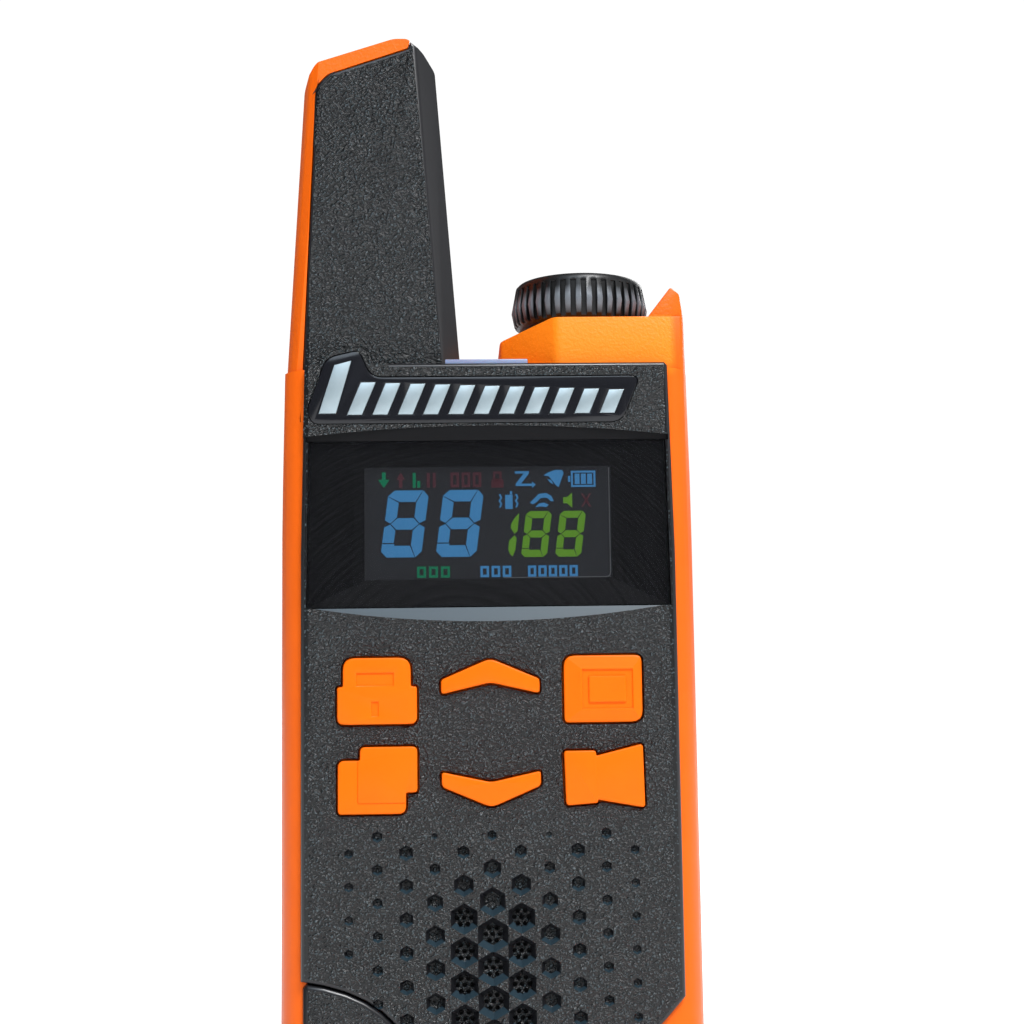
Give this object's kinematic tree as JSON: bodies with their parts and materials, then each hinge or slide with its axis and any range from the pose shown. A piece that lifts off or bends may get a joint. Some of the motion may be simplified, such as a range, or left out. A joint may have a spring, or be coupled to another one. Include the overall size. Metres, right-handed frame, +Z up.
{
  "type": "two way radio",
  "caption": "Compact hand-held two way radio with moulded antenna, display, keypad, speaker grille, volume knob, side talk button and belt clip.",
  "frame": {"origin": "centre of the flat base that the radio stands on", "axes": "+Z up along the body towards the antenna, -Y out of the display, +X to the viewer's right, the knob's side"},
  "size_m": [0.0564, 0.0372, 0.1523],
  "materials": {
    "orange_shell": "moulded, fine texture",
    "orange_key": "smooth satin",
    "grained_cover": "leather-grain moulding",
    "gloss_inlay": "gloss",
    "silver_print": "satin silver",
    "light_pipe": "translucent",
    "led": "clear resin",
    "window": "polished",
    "window_print": "printed",
    "lcd": "satin glass",
    "diffuser": "white film",
    "metal_can": "tinned",
    "steel": "turned",
    "silicone": "matte",
    "gold_contact": "plated",
    "circuit_board": "solder mask",
    "chip_resin": "moulded",
    "ferrite": "pressed",
    "paper_cone": "pressed fibre",
    "felt": "woven",
    "nylon": "natural",
    "copper_wire": "enamelled",
    "knob_black": "moulded",
    "soft_black": "matte",
    "soft_orange": "matte",
    "socket_black": "moulded",
    "battery_sleeve": "shrink film",
    "clip_black": "moulded"
  },
  "bodies": {
    "radio_body": {"rear_shell": "orange_shell", "front_cover": "grained_cover", "lower_trim": "grained_cover", "badge_plate": "gloss_inlay", "badge_mark": "silver_print", "light_bar": "light_pipe", "light_led": "led", "display_window": "window", "window_mask": "window_print", "lcd_panel": "lcd", "lcd_backlight": "diffuser", "lcd_frame": "metal_can", "keypad_mat": "silicone", "key_domes": "gold_contact", "main_board": "circuit_board", "rf_shield": "metal_can", "board_chips": "chip_resin", "speaker_frame": "metal_can", "speaker_cone": "paper_cone", "speaker_magnet": "ferrite", "speaker_felt": "felt", "microphone": "metal_can", "microphone_boot": "soft_black", "antenna_core": "nylon", "antenna_coil": "copper_wire", "antenna_feed": "gold_contact", "volume_control": "metal_can", "control_nut": "steel", "ptt_switch": "gold_contact", "headset_jack": "socket_black", "charge_port": "steel", "battery_pack": "battery_sleeve", "battery_contacts": "gold_contact", "case_screws": "steel"},
    "key_lock": {"key_lock": "orange_key"},
    "key_up": {"key_up": "orange_key"},
    "key_menu": {"key_menu": "orange_key"},
    "key_copy": {"key_copy": "orange_key"},
    "key_down": {"key_down": "orange_key"},
    "key_call": {"key_call": "orange_key"},
    "knob": {"volume_knob": "knob_black", "control_shaft": "steel"},
    "ptt": {"ptt_button": "soft_black"},
    "flap": {"port_flap": "soft_orange"},
    "door": {"battery_door": "orange_shell", "clip_pin": "steel", "clip_spring": "steel"},
    "clip": {"belt_clip": "clip_black"}
  },
  "joints": [
    {"name": "key_lock_press", "type": "slide", "parent": "radio_body", "child": "key_lock", "axis": [0, 1, 0], "range_m": [0, 0.0006], "stiffness_N_per_m": 900},
    {"name": "key_up_press", "type": "slide", "parent": "radio_body", "child": "key_up", "axis": [0, 1, 0], "range_m": [0, 0.0006], "stiffness_N_per_m": 900},
    {"name": "key_menu_press", "type": "slide", "parent": "radio_body", "child": "key_menu", "axis": [0, 1, 0], "range_m": [0, 0.0006], "stiffness_N_per_m": 900},
    {"name": "key_copy_press", "type": "slide", "parent": "radio_body", "child": "key_copy", "axis": [0, 1, 0], "range_m": [0, 0.0006], "stiffness_N_per_m": 900},
    {"name": "key_down_press", "type": "slide", "parent": "radio_body", "child": "key_down", "axis": [0, 1, 0], "range_m": [0, 0.0006], "stiffness_N_per_m": 900},
    {"name": "key_call_press", "type": "slide", "parent": "radio_body", "child": "key_call", "axis": [0, 1, 0], "range_m": [0, 0.0006], "stiffness_N_per_m": 900},
    {"name": "volume_turn", "type": "hinge", "parent": "radio_body", "child": "knob", "pos_m": [0.0137, 0, 0.1131], "axis": [0, 0, -1], "range_deg": [0, 300]},
    {"name": "ptt_press", "type": "slide", "parent": "radio_body", "child": "ptt", "axis": [1, 0, 0], "range_m": [0, 0.0008], "stiffness_N_per_m": 2000},
    {"name": "port_flap_hinge", "type": "hinge", "parent": "radio_body", "child": "flap", "pos_m": [0.0282, 0.00115, 0.0675], "axis": [0, 0, 1], "range_deg": [0, 110]},
    {"name": "battery_door_hinge", "type": "hinge", "parent": "radio_body", "child": "door", "pos_m": [0, 0.014, 0.0763], "axis": [1, 0, 0], "range_deg": [0, 50]},
    {"name": "belt_clip_pivot", "type": "hinge", "parent": "door", "child": "clip", "pos_m": [0, 0.0175, 0.066], "axis": [1, 0, 0], "range_deg": [0, 15], "stiffness_Nm_per_rad": 0.4, "springref_deg": -14.32}
  ]
}
